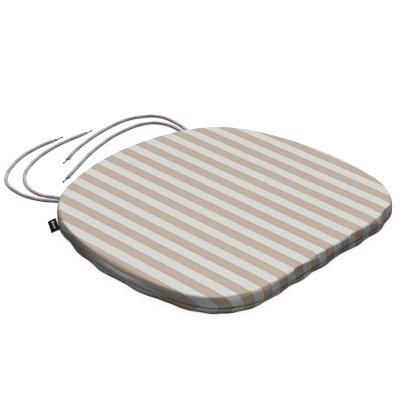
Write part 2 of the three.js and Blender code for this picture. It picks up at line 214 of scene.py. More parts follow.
def tie_thickness(here, end):
    """Half the tie's thickness at a point: uneven as cloth is, and gathered near its end."""
    to_end = float(np.linalg.norm(end - here)) - WHIP_LENGTH
    rest = (1 - GATHERED_SHARE) * max(0.0, to_end) / GATHER_LENGTH
    gathered = min(1.0, GATHERED_SHARE + rest)
    lumps = 1 + sum(size * noise.noise(Vector(here) * scale) for size, scale in LUMPS)
    return TIE_DIAMETER / 2 * gathered * lumps


def make_tie(name, route):
    """A soft tube, a little flatter where it lies, with both ends closed by a fan."""
    line, length = smooth_line(in_metres(route), TIE_STEP)
    ahead = (line[-1] - line[-2]) / np.linalg.norm(line[-1] - line[-2])
    tucked = [line[-1] + ahead * WHIP_LENGTH * share for share in (0.25, 0.5, 0.75, 1.0)]
    line = np.concatenate([line, tucked])
    points, uvs, travelled = [], [], 0.0
    for i, here in enumerate(line):
        forward = Vector(line[min(i + 1, len(line) - 1)]) - Vector(line[max(i - 1, 0)])
        side = forward.cross(UP).normalized()
        up = side.cross(forward).normalized()
        thickness = tie_thickness(here, line[-1])
        width, height = thickness * WIDER, thickness * FLATTER
        travelled += float(np.linalg.norm(here - line[i - 1])) if i else 0.0
        ring, angles = ring_round(Vector(here), side, up, width, height, TIE_SIDES)
        points += ring
        uvs += [(travelled + BIAS * a, width * a) for a in angles]
    faces = tube_faces(len(line), TIE_SIDES)
    first, last, end = len(points), len(points) + 1, len(points) - TIE_SIDES
    points += [Vector(line[0]), Vector(line[-1])]
    uvs += [uvs[0], uvs[end]]
    for s in range(TIE_SIDES):
        n = (s + 1) % TIE_SIDES
        faces += [(first, s, n), (last, end + n, end + s)]
    return new_piece("tie_" + name + "_cloth", points, faces, uvs), line, length + WHIP_LENGTH


ties = {}
for name, route in TIE_ROUTES.items():
    piece, line, length = make_tie(name, route)
    ties[name] = {"piece": piece, "line": line, "length": length}
    print(f"tie {name}: {length * 1000:.0f} mm long")

# %% [markdown]
# ## The tie ends
# The open end of each tie is gathered and whipped with dark thread. The thread is knotted,
# one loop of it stands out to the side, and its tail runs on for a centimetre to a small
# knot. Thread is round and twisted, so each bit is a thin tube wound round a line.


# %% Thread along any line
def thread_along(line, radius, sides=8):
    """Rings, faces and UVs of a thin round thread whose line may turn in any direction."""
    up = UP
    rings, uvs, travelled = [], [], 0.0
    for i, here in enumerate(line):
        ahead = (line[min(i + 1, len(line) - 1)] - line[max(i - 1, 0)]).normalized()
        side = ahead.cross(up)
        side = (side if side.length > TINY else ahead.orthogonal()).normalized()
        up = side.cross(ahead).normalized()
        travelled += (line[i] - line[i - 1]).length if i else 0.0
        ring, angles = ring_round(here, side, up, radius, radius, sides)
        rings += ring
        uvs += [(travelled, radius * a) for a in angles]
    faces = tube_faces(len(line), sides)
    end = (len(line) - 1) * sides
    faces.append(tuple(range(sides)))
    faces.append(tuple(end + s for s in reversed(range(sides))))
    return rings, faces, uvs


def joined_piece(name, parts):
    """One piece from several lists of points, faces and UVs."""
    points, faces, uvs = [], [], []
    for part_points, part_faces, part_uvs in parts:
        start = len(points)
        points += part_points
        faces += [tuple(start + i for i in face) for face in part_faces]
        uvs += part_uvs
    return new_piece(name, points, faces, uvs)


# %% Whipping, loop, knot and tail
WHIP_THREAD = 0.42 * MM
WHIP_RADIUS = 1.5 * MM
WHIP_TURNS = 3
WHIP_STEPS = 16 * WHIP_TURNS
WHIP_TAPER = 0.25
LOOP_REACH = 4.4 * MM
LOOP_WIDTH = 1.5 * MM
LOOP_RISE = 0.5 * MM
LOOP_STEPS = 24
LOOP_SWEEP = 1.7 * math.pi
KNOT_RADIUS = 1.1 * MM
KNOT_STEPS = 48
KNOT_WAIST = 0.55
KNOT_THREAD = 0.42
TAIL_LENGTH = 10.5 * MM
TAIL_THREAD = 0.6 * MM
TAIL_KNOT = 1.3 * MM
TAIL_TWISTS = 5
TAIL_STEPS = 60
TAIL_BEND = 0.35 * MM


def knot(middle, radius, axis):
    """A small knot: thread wound on itself in a closed figure round an axis."""
    turn = axis.to_track_quat("Z", "Y")
    line = []
    for i in range(KNOT_STEPS + 1):
        a = 2 * math.pi * i / KNOT_STEPS
        wound, rise = 1 + 0.45 * math.cos(3 * a), math.sin(3 * a)
        place = Vector((wound * math.cos(2 * a), wound * math.sin(2 * a), rise))
        line.append(middle + turn @ (place * radius * KNOT_WAIST))
    return thread_along(line, radius * KNOT_THREAD)


def whipping_and_loop(start, ahead, side):
    """The lines of the turns round the gathered cloth and of the loop beside them."""
    whip, loop = [], []
    for i in range(WHIP_STEPS + 1):
        t = i / WHIP_STEPS
        a = 2 * math.pi * WHIP_TURNS * t
        r = WHIP_RADIUS * (1 - WHIP_TAPER * t)
        whip.append(start + ahead * (WHIP_LENGTH * t)
                    + side * (math.cos(a) * r) + UP * (math.sin(a) * r))
    for i in range(LOOP_STEPS + 1):
        a = LOOP_SWEEP * (i / LOOP_STEPS - 0.5)
        reach = WHIP_RADIUS * 0.7 + LOOP_REACH * 0.5 * (1 + math.cos(a))
        loop.append(start + ahead * (WHIP_LENGTH * 0.5 + LOOP_WIDTH * math.sin(a))
                    + side * (reach * 0.9) + UP * LOOP_RISE)
    return whip, loop


def make_tie_end(name, line, loop_side):
    """The whipping with its loop, and the tail with its knot, at the end of a tie."""
    ahead = (Vector(line[-1]) - Vector(line[-2])).normalized()
    start = Vector(line[-1]) - ahead * WHIP_LENGTH
    side = ahead.cross(UP).normalized() * loop_side
    whip, loop = whipping_and_loop(start, ahead, side)
    tail_start = start + ahead * (WHIP_LENGTH * 0.9)
    binding = joined_piece("end_whipping_" + name, [
        thread_along(whip, WHIP_THREAD),
        thread_along(loop, WHIP_THREAD * 0.95),
        knot(tail_start - side * (WHIP_RADIUS * 0.75), KNOT_RADIUS, side),
    ])

    def tail_middle(t):
        return tail_start + ahead * (TAIL_LENGTH * t) + side * (TAIL_BEND * math.sin(4 * t))

    strands = []
    for first_angle in (0.0, math.pi):
        strand = []
        for i in range(TAIL_STEPS + 1):
            t = i / TAIL_STEPS
            a = first_angle + t * 2 * math.pi * TAIL_TWISTS
            round_middle = (side * math.cos(a) + UP * math.sin(a)) * (TAIL_THREAD * 0.6)
            strand.append(tail_middle(t) + round_middle)
        strands.append(thread_along(strand, TAIL_THREAD, 6))
    tail = joined_piece("tail_thread_" + name, [*strands, knot(tail_middle(1), TAIL_KNOT, ahead)])
    return binding, tail


for name, tie in ties.items():
    loop_side = 1 if name.startswith("left") else -1
    tie["binding"], tie["tail"] = make_tie_end(name, tie["line"], loop_side)
print("tie ends:", len(ties), "whippings and tails")

for name, tie in ties.items():
    for piece, node, slot in (
        (tie["piece"], "tie_" + name, "tie_cloth"),
        (tie["binding"], "end_binding_" + name, "thread"),
        (tie["tail"], "thread_tail_" + name, "thread"),
    ):
        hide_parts(node)
        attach(piece, "pad")

# %% [markdown]
# ## The outline of the pad
# The cover is cut as a smooth closed outline: a gently curved back, round back corners,
# slightly bowed sides, tight front corners and a straight front. Four arcs, each starting
# in the direction in which the last one ended, give half of it, and the other half mirrors
# it. Arcs keep the edge free of the flats and bumps that a hand-drawn outline would have.

# %% Arcs of the seam
SEAM_ARCS = ((0.297, 22.0), (0.118, 48.4), (0.380, 33.3), (0.087, 76.3))
SEAM_BACK_Y = 0.1875
COLUMN_SPACING = 3.4 * MM


def right_half_of_seam():
    """x, y and heading in degrees, clockwise from the middle of the back to the front's middle."""
    rows, heading, before = [], 0.0, SEAM_ARCS[0][0]
    centre = Vector((0, SEAM_BACK_Y - before))
    for radius, degrees in SEAM_ARCS:
        turned = math.radians(heading)
        centre += (before - radius) * Vector((math.sin(turned), math.cos(turned)))
        before = radius
        steps = round(radius * math.radians(degrees) / COLUMN_SPACING)
        for step in range(1 if rows else 0, steps + 1):
            here = heading + degrees * step / steps
            a = math.radians(here)
            rows.append((centre.x + radius * math.sin(a), centre.y + radius * math.cos(a), here))
        heading += degrees
    x, y, _ = rows[-1]
    steps = round(x / COLUMN_SPACING)
    rows += [(x * (1 - step / steps), y, 180.0) for step in range(1, steps + 1)]
    return rows


def whole_seam():
    """Arrays for each column round the pad: point, outward normal, heading and length so far."""
    right = right_half_of_seam()
    left = [(-x, y, -heading) for x, y, heading in reversed(right[1:-1])]
    rows = np.array(right + left)
    angle = np.radians(rows[:, 2])
    point, normal = rows[:, :2], np.stack([np.sin(angle), np.cos(angle)], axis=1)
    gaps = np.linalg.norm(np.diff(point, axis=0, append=point[:1]), axis=1)
    return point, normal, rows[:, 2], np.concatenate([[0], np.cumsum(gaps)[:-1]]), gaps.sum()


SEAM_POINT, SEAM_NORMAL, SEAM_HEADING, SEAM_LENGTH, SEAM_TOTAL = whole_seam()
COLUMNS = len(SEAM_POINT)
print(f"seam {SEAM_TOTAL * 1000:.0f} mm round, in {COLUMNS} columns")

# %% [markdown]
# ## The two cover panels
# Each panel has a flat middle, a roll where it turns over the foam's edge, and a short wall
# down or up to the seam. There the cloth turns inwards as the seam allowance, and the
# thread pulls it into a narrow groove. A foam pad this thin hardly crowns, so the life is
# in the edge: the roll is tight at the front and slack at the left, and the lower edge
# runs in shallow waves where the foam doesn't quite fill the cover.

# %% Sizes of the panels
PAD_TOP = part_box("top_cover")[1].z
SEAM_Z = 11 * MM
GROOVE_DEPTH = 1.2 * MM
GROOVE_WIDTH = 0.7 * MM
ALLOWANCE = 3 * MM
LIP_GAP = 0.3 * MM
CLOTH_THICKNESS = 0.7 * MM
FLAT_RINGS = 22
ROLL_ROWS = 9
WALL_ROWS = 14
UPPER_TURN = math.radians(80)
LOWER_TURN = math.radians(65)
ZIP_HALF_OPENING = 2.6 * MM
ZIP_END_HEADING = 19.9
ZIP_TAPER = 1.6
SEAM_SAG = 2 * MM
SAG_REACH = 75 * MM
SAG_PLACE = (-80 * MM, -180 * MM)


def wave(column, cycles, seed):
    """Smooth noise from -1 to 1 that runs round the pad and meets itself."""
    a = 2 * math.pi * SEAM_LENGTH[column] / SEAM_TOTAL
    reach = cycles / (2 * math.pi)
    return noise.noise(Vector((reach * math.cos(a), reach * math.sin(a), seed)))


def zip_parting(column):
    """How far the zip parts the panels at a column, from 0 to 1."""
    left_over = (ZIP_END_HEADING + ZIP_TAPER / 2 - abs(SEAM_HEADING[column])) / ZIP_TAPER
    return min(1.0, max(0.0, left_over))


# %% Wall and seam allowance, the same for both panels
def wall_rows(column, start, lip, belly, fold_up):
    """(offset, height) pairs from the end of the roll to the lip, then into the seam."""
    parting = zip_parting(column)
    (start_o, start_z), (lip_o, lip_z) = start, lip
    lip_o -= GROOVE_DEPTH * 0.25 * parting
    bulge = belly * MM * (1 - 0.6 * parting)
    rows = []
    for i in range(1, WALL_ROWS):
        s = i / (WALL_ROWS - 1)
        z = start_z + (lip_z - start_z) * s
        groove = GROOVE_DEPTH * math.exp(-(((z - lip_z) / GROOVE_WIDTH) ** 2))
        out = start_o + (lip_o - start_o) * s + bulge * math.sin(math.pi * s) ** 0.8
        rows.append((out - groove * (1 - 0.8 * parting), z))
    fold_in = ALLOWANCE * (1 - parting) + 0.3 * MM * parting
    rows.append((rows[-1][0] - fold_in * 0.3, lip_z))
    rows.append((rows[-1][0] - fold_in * 0.7, lip_z + fold_up))
    return rows


def seam_height(column):
    """The seam sags a little round the left front corner."""
    x, y = SEAM_POINT[column]
    from_sag = math.hypot(x - SAG_PLACE[0], y - SAG_PLACE[1])
    return SEAM_Z - SEAM_SAG * math.exp(-(from_sag / SAG_REACH) ** 2)


# %% How the stuffing fills the edge
def swell(column, heading, width):
    """A smooth swelling round one heading of the outline, from 0 to 1."""
    return math.exp(-(((SEAM_HEADING[column] - heading) / width) ** 2))


def upper_roll(column):
    """Radius of the roll: tight all round, slack in the middle of the left side."""
    nx, ny = SEAM_NORMAL[column]
    slack = 4.2 * swell(column, -89, 6.5) - 1.0 * swell(column, -76, 5)
    slack += 0.8 * max(0.0, -nx) ** 4 + 0.6 * max(0.0, nx) ** 2 + 0.8 * max(0.0, ny) ** 2
    return (2.3 + slack + 0.5 * wave(column, 14, 3.1)) * MM


def crease_inset(column):
    """How far the top of the wall stands in from the seam: most round the left front corner."""
    nx, ny = SEAM_NORMAL[column]
    inset = 2.1 + 3.0 * swell(column, -150, 24) + 1.8 * swell(column, -90, 9) + 0.8 * max(0.0, ny)
    inset -= 2.0 * max(0.0, abs(nx) * ny) ** 2 + 0.7 * max(0.0, -nx) ** 4
    return (inset + 0.5 * wave(column, 9, 7.7)) * MM


def fullness(column):
    """Where the stuffing pushes the seam out, and where the cover pulls it in."""
    out = 2.6 * swell(column, 95, 42) - 2.4 * swell(column, 160, 12)
    out += 1.2 * swell(column, 136, 10) + 2.2 * swell(column, 150, 7)
    out -= 1.8 * swell(column, -52, 16) + 1.6 * swell(column, -112, 14)
    return out * MM


# %% Soft corners of the lower edge
# Places round the seam, in millimetres from the middle of the back, clockwise.
CORNERS = (
    40, 95, 150, 200, 262, 310, 365, 420, 478, 537, 588, 651, 695, 740,
    786, 813, 836, 863, 935, 1003, 1060, 1110, 1165, 1215, 1260,
)
CORNER_REACH = 26


def corner(column):
    """1 where the stuffing pushes a soft corner into the lower edge, 0 between the corners."""
    along = column * SEAM_TOTAL / COLUMNS / MM
    nearest = min(abs(along - at) for at in CORNERS)
    return max(0.0, 1 - nearest / CORNER_REACH)


# %% Sections of the two panels
def upper_section(column):
    """(offset, height) pairs from the edge of the flat down to the seam allowance."""
    parting = zip_parting(column)
    r = upper_roll(column)
    crease = -crease_inset(column)
    rows = []
    for i in range(ROLL_ROWS):
        a = UPPER_TURN * i / (ROLL_ROWS - 1)
        rows.append((crease - r + r * math.sin(a), PAD_TOP - r * (1 - math.cos(a))))
    lip_z = seam_height(column) + LIP_GAP + ZIP_HALF_OPENING * parting
    lip = (-0.34 * ZIP_HALF_OPENING * parting, lip_z)
    return rows + wall_rows(column, rows[-1], lip, 0.35 + 0.4 * wave(column, 16, 1.3), 0.1 * MM)


def lower_section(column):
    """(offset, height) pairs from the edge of the underside up to the seam allowance."""
    parting = zip_parting(column)
    foot_z = (2.9 + 0.8 * wave(column, 24, 5.5) - 1.3 * corner(column)) * MM
    foot_o = -(2.5 + 0.5 * wave(column, 22, 9.2) - 1.0 * corner(column)) * MM
    width = 1.6 * max(1.4 * MM, foot_z)
    rows = []
    for i in range(ROLL_ROWS):
        a = LOWER_TURN * i / (ROLL_ROWS - 1)
        out = width * (math.sin(a) / math.sin(LOWER_TURN) - 1)
        rows.append((foot_o + out, foot_z * (1 - math.cos(a)) / (1 - math.cos(LOWER_TURN))))
    lip_z = seam_height(column) - LIP_GAP - ZIP_HALF_OPENING * parting
    lip = (-0.47 * ZIP_HALF_OPENING * parting, lip_z)
    return rows + wall_rows(column, rows[-1], lip, 0.45 + 0.4 * wave(column, 18, 2.9), -0.1 * MM)


# %% [markdown]
# Little light gets into a fold of cloth, and the shallow groove of this mesh stays too bright.
# A deeper groove would cut into the foam, so each point of a panel stores a painted shade:
# full in the seam's fold, and part along the foot where the lower edge turns under. The
# cover's finish darkens the cloth by that painted shade.

# %% Painted shade in the fold and along the foot
PAINTED_SHADE_LAYER = "painted_fold_shade"
LIP_ROW = ROLL_ROWS + WALL_ROWS - 2
LIP_PAINTED_SHADE = 0.25
FOOT_PAINTED_SHADE = 0.65


def painted_fold_shade(row, faces_down):
    """Painted shade of a row of the edge: 1 inside the seam's fold, less along the lower foot."""
    if row >= LIP_ROW:
        return 1.0
    if row == LIP_ROW - 1:
        return LIP_PAINTED_SHADE
    foot = min(1.0, row / 2, (ROLL_ROWS + 3 - row) / 3)
    return FOOT_PAINTED_SHADE * max(0.0, foot) if faces_down else 0.0


# %% Build a panel
RELIEF = 0.35 * MM
RELIEF_SCALE = 14
RING_CROWDING = 1.35


def column_points(column, rows, flat_z, faces_down):
    """Points and UVs of one column, from the middle of the flat out and round to the seam."""
    px, py = SEAM_POINT[column]
    nx, ny = SEAM_NORMAL[column]
    pushed = fullness(column)
    edge_o = rows[0][0] + pushed
    edge_x, edge_y = px + nx * edge_o, py + ny * edge_o
    points, uvs = [], []
    for ring in range(1, FLAT_RINGS):
        share = 1 - (1 - ring / FLAT_RINGS) ** RING_CROWDING
        x, y = edge_x * share, edge_y * share
        bumps = noise.noise(Vector((x * RELIEF_SCALE, y * RELIEF_SCALE, 4.4)))
        lift = 0.0 if faces_down else RELIEF * (1 - share**6) * bumps
        points.append((x, y, flat_z + lift))
        uvs.append((x, y))
    unrolled, before = 0.0, rows[0]
    for offset, z in rows:
        unrolled += math.hypot(offset - before[0], z - before[1])
        before = (offset, z)
        points.append((px + nx * (offset + pushed), py + ny * (offset + pushed), z))
        uvs.append((edge_x + nx * unrolled, edge_y + ny * unrolled))
    return points, uvs


def make_panel(name, section, flat_z, faces_down):
    """A panel: rings across the flat, then the roll, the wall and the seam allowance."""
    points, uvs = [], []
    for column in range(COLUMNS):
        more_points, more_uvs = column_points(column, section(column), flat_z, faces_down)
        points += more_points
        uvs += more_uvs
    middle = len(points)
    rows = middle // COLUMNS
    points.append((0, 0, flat_z))
    uvs.append((0, 0))
    faces = grid_faces(COLUMNS, rows, closed=True)
    faces += [(middle, c * rows, ((c + 1) % COLUMNS) * rows) for c in range(COLUMNS)]
    if not faces_down:
        faces = [tuple(reversed(face)) for face in faces]
    panel = new_piece(name, points, faces, uvs)
    # Each point's painted shade, by which the cover's finish darkens the cloth.
    depth = panel.data.attributes.new(PAINTED_SHADE_LAYER, "FLOAT", "POINT")
    for index in range(middle):
        depth.data[index].value = painted_fold_shade(index % rows - FLAT_RINGS + 1, faces_down)
    thickness = panel.modifiers.new("cloth_thickness", "SOLIDIFY")
    thickness.thickness = CLOTH_THICKNESS
    thickness.offset = -1
    return panel


top_panel = make_panel("top_panel", upper_section, PAD_TOP, faces_down=False)
bottom_panel = make_panel("bottom_panel", lower_section, 0.0, faces_down=True)

# %% [markdown]
# A sewn cover is always a little larger than its foam, so the cloth ripples where nothing
# holds it. A short cloth simulation gives those ripples. The seam is held by its stitches
# and the flat by the foam, the cloth of the edge is 1% too long, and a soft pressure
# stands for the foam behind it. No point may move further than the slack would let it.

# %% Let the cloth of the edge settle
SETTLING_FRAMES = 16
SETTLING_STEPS = 5
SETTLING_PRESSURE = 1.0
SPARE_CLOTH = -0.01
FURTHEST_MOVE = 0.6 * MM


def settle(panel):
    """Cloth simulation of a panel's roll and wall, kept only as far as the slack allows."""
    middle = len(panel.data.vertices) - 1
    rows = middle // COLUMNS
    free = range(FLAT_RINGS - 3, rows - 3)
    held = panel.vertex_groups.new(name="held")
    for index in range(middle + 1):
        if index == middle or index % rows not in free or zip_parting(index // rows) > 0:
            held.add([index], 1.0, "REPLACE")
    panel.modifiers["cloth_thickness"].show_viewport = False
    cloth = panel.modifiers.new("settling", "CLOTH")
    cloth.settings.quality = SETTLING_STEPS
    cloth.settings.vertex_group_mass = "held"
    cloth.settings.use_pressure = True
    cloth.settings.uniform_pressure_force = SETTLING_PRESSURE
    cloth.settings.shrink_min = SPARE_CLOTH
    cloth.settings.shrink_max = SPARE_CLOTH
    cloth.settings.effector_weights.gravity = 0.0
    cloth.collision_settings.use_collision = False
    for moment in range(1, SETTLING_FRAMES + 1):
        scene.frame_set(moment)
    settled = panel.evaluated_get(bpy.context.evaluated_depsgraph_get()).data
    moves = [after.co - point.co for point, after in zip(panel.data.vertices, settled.vertices)]
    for point, move in zip(panel.data.vertices, moves):
        move *= min(1.0, FURTHEST_MOVE / max(move.length, TINY))
        point.co += move
    panel.modifiers.remove(cloth)
    panel.vertex_groups.clear()
    panel.modifiers["cloth_thickness"].show_viewport = True
    scene.frame_set(1)
    return max(move.length for move in moves) / MM


for panel in (top_panel, bottom_panel):
    print(panel.name, f"settled, the furthest point by {settle(panel):.2f} mm")

for panel, node in ((top_panel, "top_cover"), (bottom_panel, "bottom_cover")):
    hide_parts(node)
    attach(panel, "pad")
    print(panel.name, len(panel.data.vertices), "points")

# %% [markdown]
# ## The foam
# The pad inside is cut from sheet foam, so its faces are flat and its edges nearly square.
# It is rounded just enough for the cover to turn over it. It is never seen while the zip is
# shut, but the zip's slider travels, so the piece is there and clear of the tape.

# %% Foam block
FOAM_WALL = (
    (-12, 23.8), (-8.4, 23.4), (-6.6, 22.0), (-6.0, 20.0), (-5.4, 15.0), (-5.2, 11.0), (-5.6, 7.0),
    (-6.6, 3.4), (-7.6, 2.0), (-9.6, 1.3), (-13, 1.2),
)


def make_foam():
    """A closed block carried round the seam, inside the panels."""
    points = []
    for column in range(0, COLUMNS, 2):
        px, py = SEAM_POINT[column]
        nx, ny = SEAM_NORMAL[column]
        for offset, z in FOAM_WALL:
            points.append((px + nx * offset * MM, py + ny * offset * MM, z * MM))
    rows = len(FOAM_WALL)
    columns = len(points) // rows
    faces = [tuple(reversed(face)) for face in grid_faces(columns, rows, closed=True)]
    top, bottom = len(points), len(points) + 1
    points += [(0, 0, FOAM_WALL[0][1] * MM), (0, 0, FOAM_WALL[-1][1] * MM)]
    for c in range(columns):
        after = (c + 1) % columns
        faces.append((top, after * rows, c * rows))
        faces.append((bottom, c * rows + rows - 1, after * rows + rows - 1))
    return new_piece("foam_block", points, faces)


foam = make_foam()
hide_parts("foam_core")
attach(foam, "pad")
print("foam block with", len(foam.data.vertices), "points")

# %% [markdown]
# ## The zip
# A cover like this comes off for washing through a zip in the back seam. The tape, the
# stops, the slider and the pull keep their CAD shapes. The coil is remade tooth by tooth,
# because a plain bar can't show the row of nylon loops that catches the light.

# %% Coil teeth
ZIP_RADIUS = SEAM_ARCS[0][0]
ZIP_CENTRE_Y = SEAM_BACK_Y - ZIP_RADIUS
COIL_END = 19.2
TOOTH_PITCH = 1.25 * MM
TOOTH_SIZE = (0.42 * MM, 0.62 * MM, 0.85 * MM)
TOOTH_RINGS, TOOTH_SIDES = 5, 8
TOOTH_HEIGHT = 1.2 * MM
TOOTH_SINK = 0.42 * MM


def tooth(heading, height):
    """Points and faces of one rounded loop of the coil, standing across the zip."""
    a = math.radians(heading)
    along = Vector((math.cos(a), -math.sin(a), 0))
    outward = Vector((math.sin(a), math.cos(a), 0))
    middle = Vector((0, ZIP_CENTRE_Y, height)) + outward * (ZIP_RADIUS - TOOTH_SINK)
    points, sides = [], TOOTH_SIDES
    for ring in range(TOOTH_RINGS):
        t = ring / (TOOTH_RINGS - 1) * 2 - 1
        width, depth = (size * math.sqrt(1 - (0.93 * t) ** 4) for size in TOOTH_SIZE[:2])
        place = middle + UP * (t * TOOTH_SIZE[2])
        points += ring_round(place, along, outward, width, depth, sides)[0]
    faces = [tuple(reversed(face)) for face in tube_faces(TOOTH_RINGS, sides)]
    faces.append(tuple(reversed(range(sides))))
    faces.append(tuple((TOOTH_RINGS - 1) * sides + s for s in range(sides)))
    return points, faces, [(0, 0)] * len(points)


def make_coil(name, side):
    """One half of the coil, its teeth half a pitch apart from the other half's."""
    count = int(2 * math.radians(COIL_END) * ZIP_RADIUS / TOOTH_PITCH)
    step = math.degrees(TOOTH_PITCH / ZIP_RADIUS)
    headings = [(i - (count - 1) / 2 + 0.25 * side) * step for i in range(count)]
    print(name, count, "teeth")
    return joined_piece(name, [tooth(h, SEAM_Z + side * TOOTH_HEIGHT) for h in headings])


for side, word in ((1, "upper"), (-1, "lower")):
    coil = make_coil("coil_teeth_" + word, side)
    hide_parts("zip_coil_" + word)
    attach(coil, "pad")

# %% Stitches that hold the zip
STITCH_LENGTH = 2.4 * MM
STITCH_PITCH = 3.1 * MM
STITCH_RADIUS = 0.24 * MM
STITCH_FROM_FOLD = 2.6 * MM
STITCHED_TO_HEADING = ZIP_END_HEADING - 0.4
COLUMN_SPACING_ON_BACK = SEAM_LENGTH[1]


def wall_point(panel_section, column_share, z):
    """The point of a panel's wall at a height, between two columns."""
    column = int(column_share)
    found = []
    for c in (column % COLUMNS, (column + 1) % COLUMNS):
        rows = sorted(panel_section(c)[ROLL_ROWS - 1:-2], key=lambda row: row[1])
        offset = float(np.interp(z, [row[1] for row in rows], [row[0] for row in rows]))
        found.append(Vector((*(SEAM_POINT[c] + SEAM_NORMAL[c] * offset), z)))
    return found[0].lerp(found[1], column_share - column)


def make_zip_stitches(name, panel_section, side):
    """A row of stitches along the edge of a panel, over the zip's tape."""
    on_each_side = int(math.radians(STITCHED_TO_HEADING) * ZIP_RADIUS / STITCH_PITCH)
    z = SEAM_Z + side * (ZIP_HALF_OPENING + STITCH_FROM_FOLD)
    parts = []
    for i in range(-on_each_side, on_each_side + 1):
        ends = []
        for shift in (-0.5, -0.25, 0, 0.25, 0.5):
            length = i * STITCH_PITCH + shift * STITCH_LENGTH
            point = wall_point(panel_section, length / COLUMN_SPACING_ON_BACK, z)
            sunk = (abs(shift) / 0.5) ** 2 * STITCH_RADIUS * 1.4
            outward = Vector((point.x, point.y - ZIP_CENTRE_Y, 0)).normalized()
            ends.append(point + outward * (STITCH_RADIUS * 0.6 - sunk))
        parts.append(thread_along(ends, STITCH_RADIUS, 6))
    return joined_piece(name, parts)


for side, word, panel_section in ((1, "upper", upper_section), (-1, "lower", lower_section)):
    stitches = make_zip_stitches("zip_stitches_" + word, panel_section, side)
    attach(stitches, "pad")
    print(stitches.name, len(stitches.data.vertices), "points")

# %% [markdown]
# ## The label
# The label is a strip of black woven tape, folded in two with both ends caught in the seam.
# It is light but springy, so it stands out and droops a little. The real one carries a
# name. Here a plain pale bar and a small square are woven in instead.

# %% Folded label
LABEL_WIDTH = 29 * MM
LABEL_REACH = 11.3 * MM
LABEL_PLY_GAP = 0.33 * MM
LABEL_PLY = 0.3 * MM
LABEL_DROOP = math.radians(16)
LABEL_CURL = 0.6 * MM
LABEL_ROOT_SHIFT = (0.4 * MM, 0.3 * MM)
LABEL_ON_CORNER = 0.75
LABEL_COLUMNS, LABEL_ROWS, FOLD_STEPS = 15, 10, 6


def label_place():
    """The root of the label on the left back corner: point, outward and along directions."""
    (back, sweep), (bend, bend_sweep) = SEAM_ARCS[0], SEAM_ARCS[1]
    turned = math.radians(sweep)
    heading = math.radians(sweep + bend_sweep * LABEL_ON_CORNER)
    x = (back - bend) * math.sin(turned) + bend * math.sin(heading)
    y = SEAM_BACK_Y - back + (back - bend) * math.cos(turned) + bend * math.cos(heading)
    outward = Vector((-math.sin(heading), math.cos(heading), 0))
    return Vector((-x, y, SEAM_Z)), outward, outward.cross(UP)


def label_path():
    """(reach, height) pairs along the strip: out on the upper ply and back on the lower one."""
    reaches = [r * LABEL_REACH / (LABEL_ROWS - 1) for r in range(LABEL_ROWS)]
    turn = [math.pi * i / FOLD_STEPS for i in range(1, FOLD_STEPS)]
    path = [(reach, LABEL_PLY_GAP) for reach in reaches]
    path += [(LABEL_REACH + LABEL_PLY_GAP * math.sin(a), LABEL_PLY_GAP * math.cos(a)) for a in turn]
    return path + [(reach, -LABEL_PLY_GAP) for reach in reversed(reaches)]


def make_label():
    """Both plies and the fold between them as one bent strip, with a real thickness."""
    root, outward, along = label_place()
    path = label_path()
    points, uvs = [], []
    for c in range(LABEL_COLUMNS):
        w = (c / (LABEL_COLUMNS - 1) - 0.5) * LABEL_WIDTH
        travelled, before = 0.0, path[0]
        for reach, ply in path:
            travelled += math.hypot(reach - before[0], ply - before[1])
            before = (reach, ply)
            droop = LABEL_DROOP * (0.75 + 0.5 * reach / LABEL_REACH)
            curl = LABEL_CURL * math.cos(3.2 * w / LABEL_WIDTH + 0.6) * (reach / LABEL_REACH) ** 2
            out = reach * math.cos(droop) + ply * math.sin(droop) - LABEL_ROOT_SHIFT[0]
            up = ply * math.cos(droop) - reach * math.sin(droop) + curl - LABEL_ROOT_SHIFT[1]
            points.append(root + outward * out + UP * up + along * w)
            uvs.append((w, travelled))
    faces = grid_faces(LABEL_COLUMNS, len(path), closed=False)
    strip = new_piece("folded_label", points, faces, uvs)
    ply = strip.modifiers.new("ply_thickness", "SOLIDIFY")
    ply.thickness = LABEL_PLY
    ply.offset = 0
    return strip


label = make_label()
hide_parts("side_label")
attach(label, "pad")
print("label on the corner, with", len(label.data.vertices), "points")

# %% [markdown]
# ## Finishes
# The colours and the threads are woven, so they are drawn from the cloth's own lengths. One
# helper makes a principled material with its nodes at hand. Small sine waves in both
# directions of the cloth stand for the threads, and slow noise for uneven yarn.


# %% Node helpers
SHEEN_ROUGHNESS = 0.5
CROSSING_SHARE, RIB_SHARE = 0.35, 0.5


def linear(*eight_bit):
    """A display colour from 0 to 255 as the linear light that the shader takes."""
    shares = [v / 255 for v in eight_bit]
    return tuple(s / 12.92 if s <= 0.04045 else ((s + 0.055) / 1.055) ** 2.4 for s in shares)


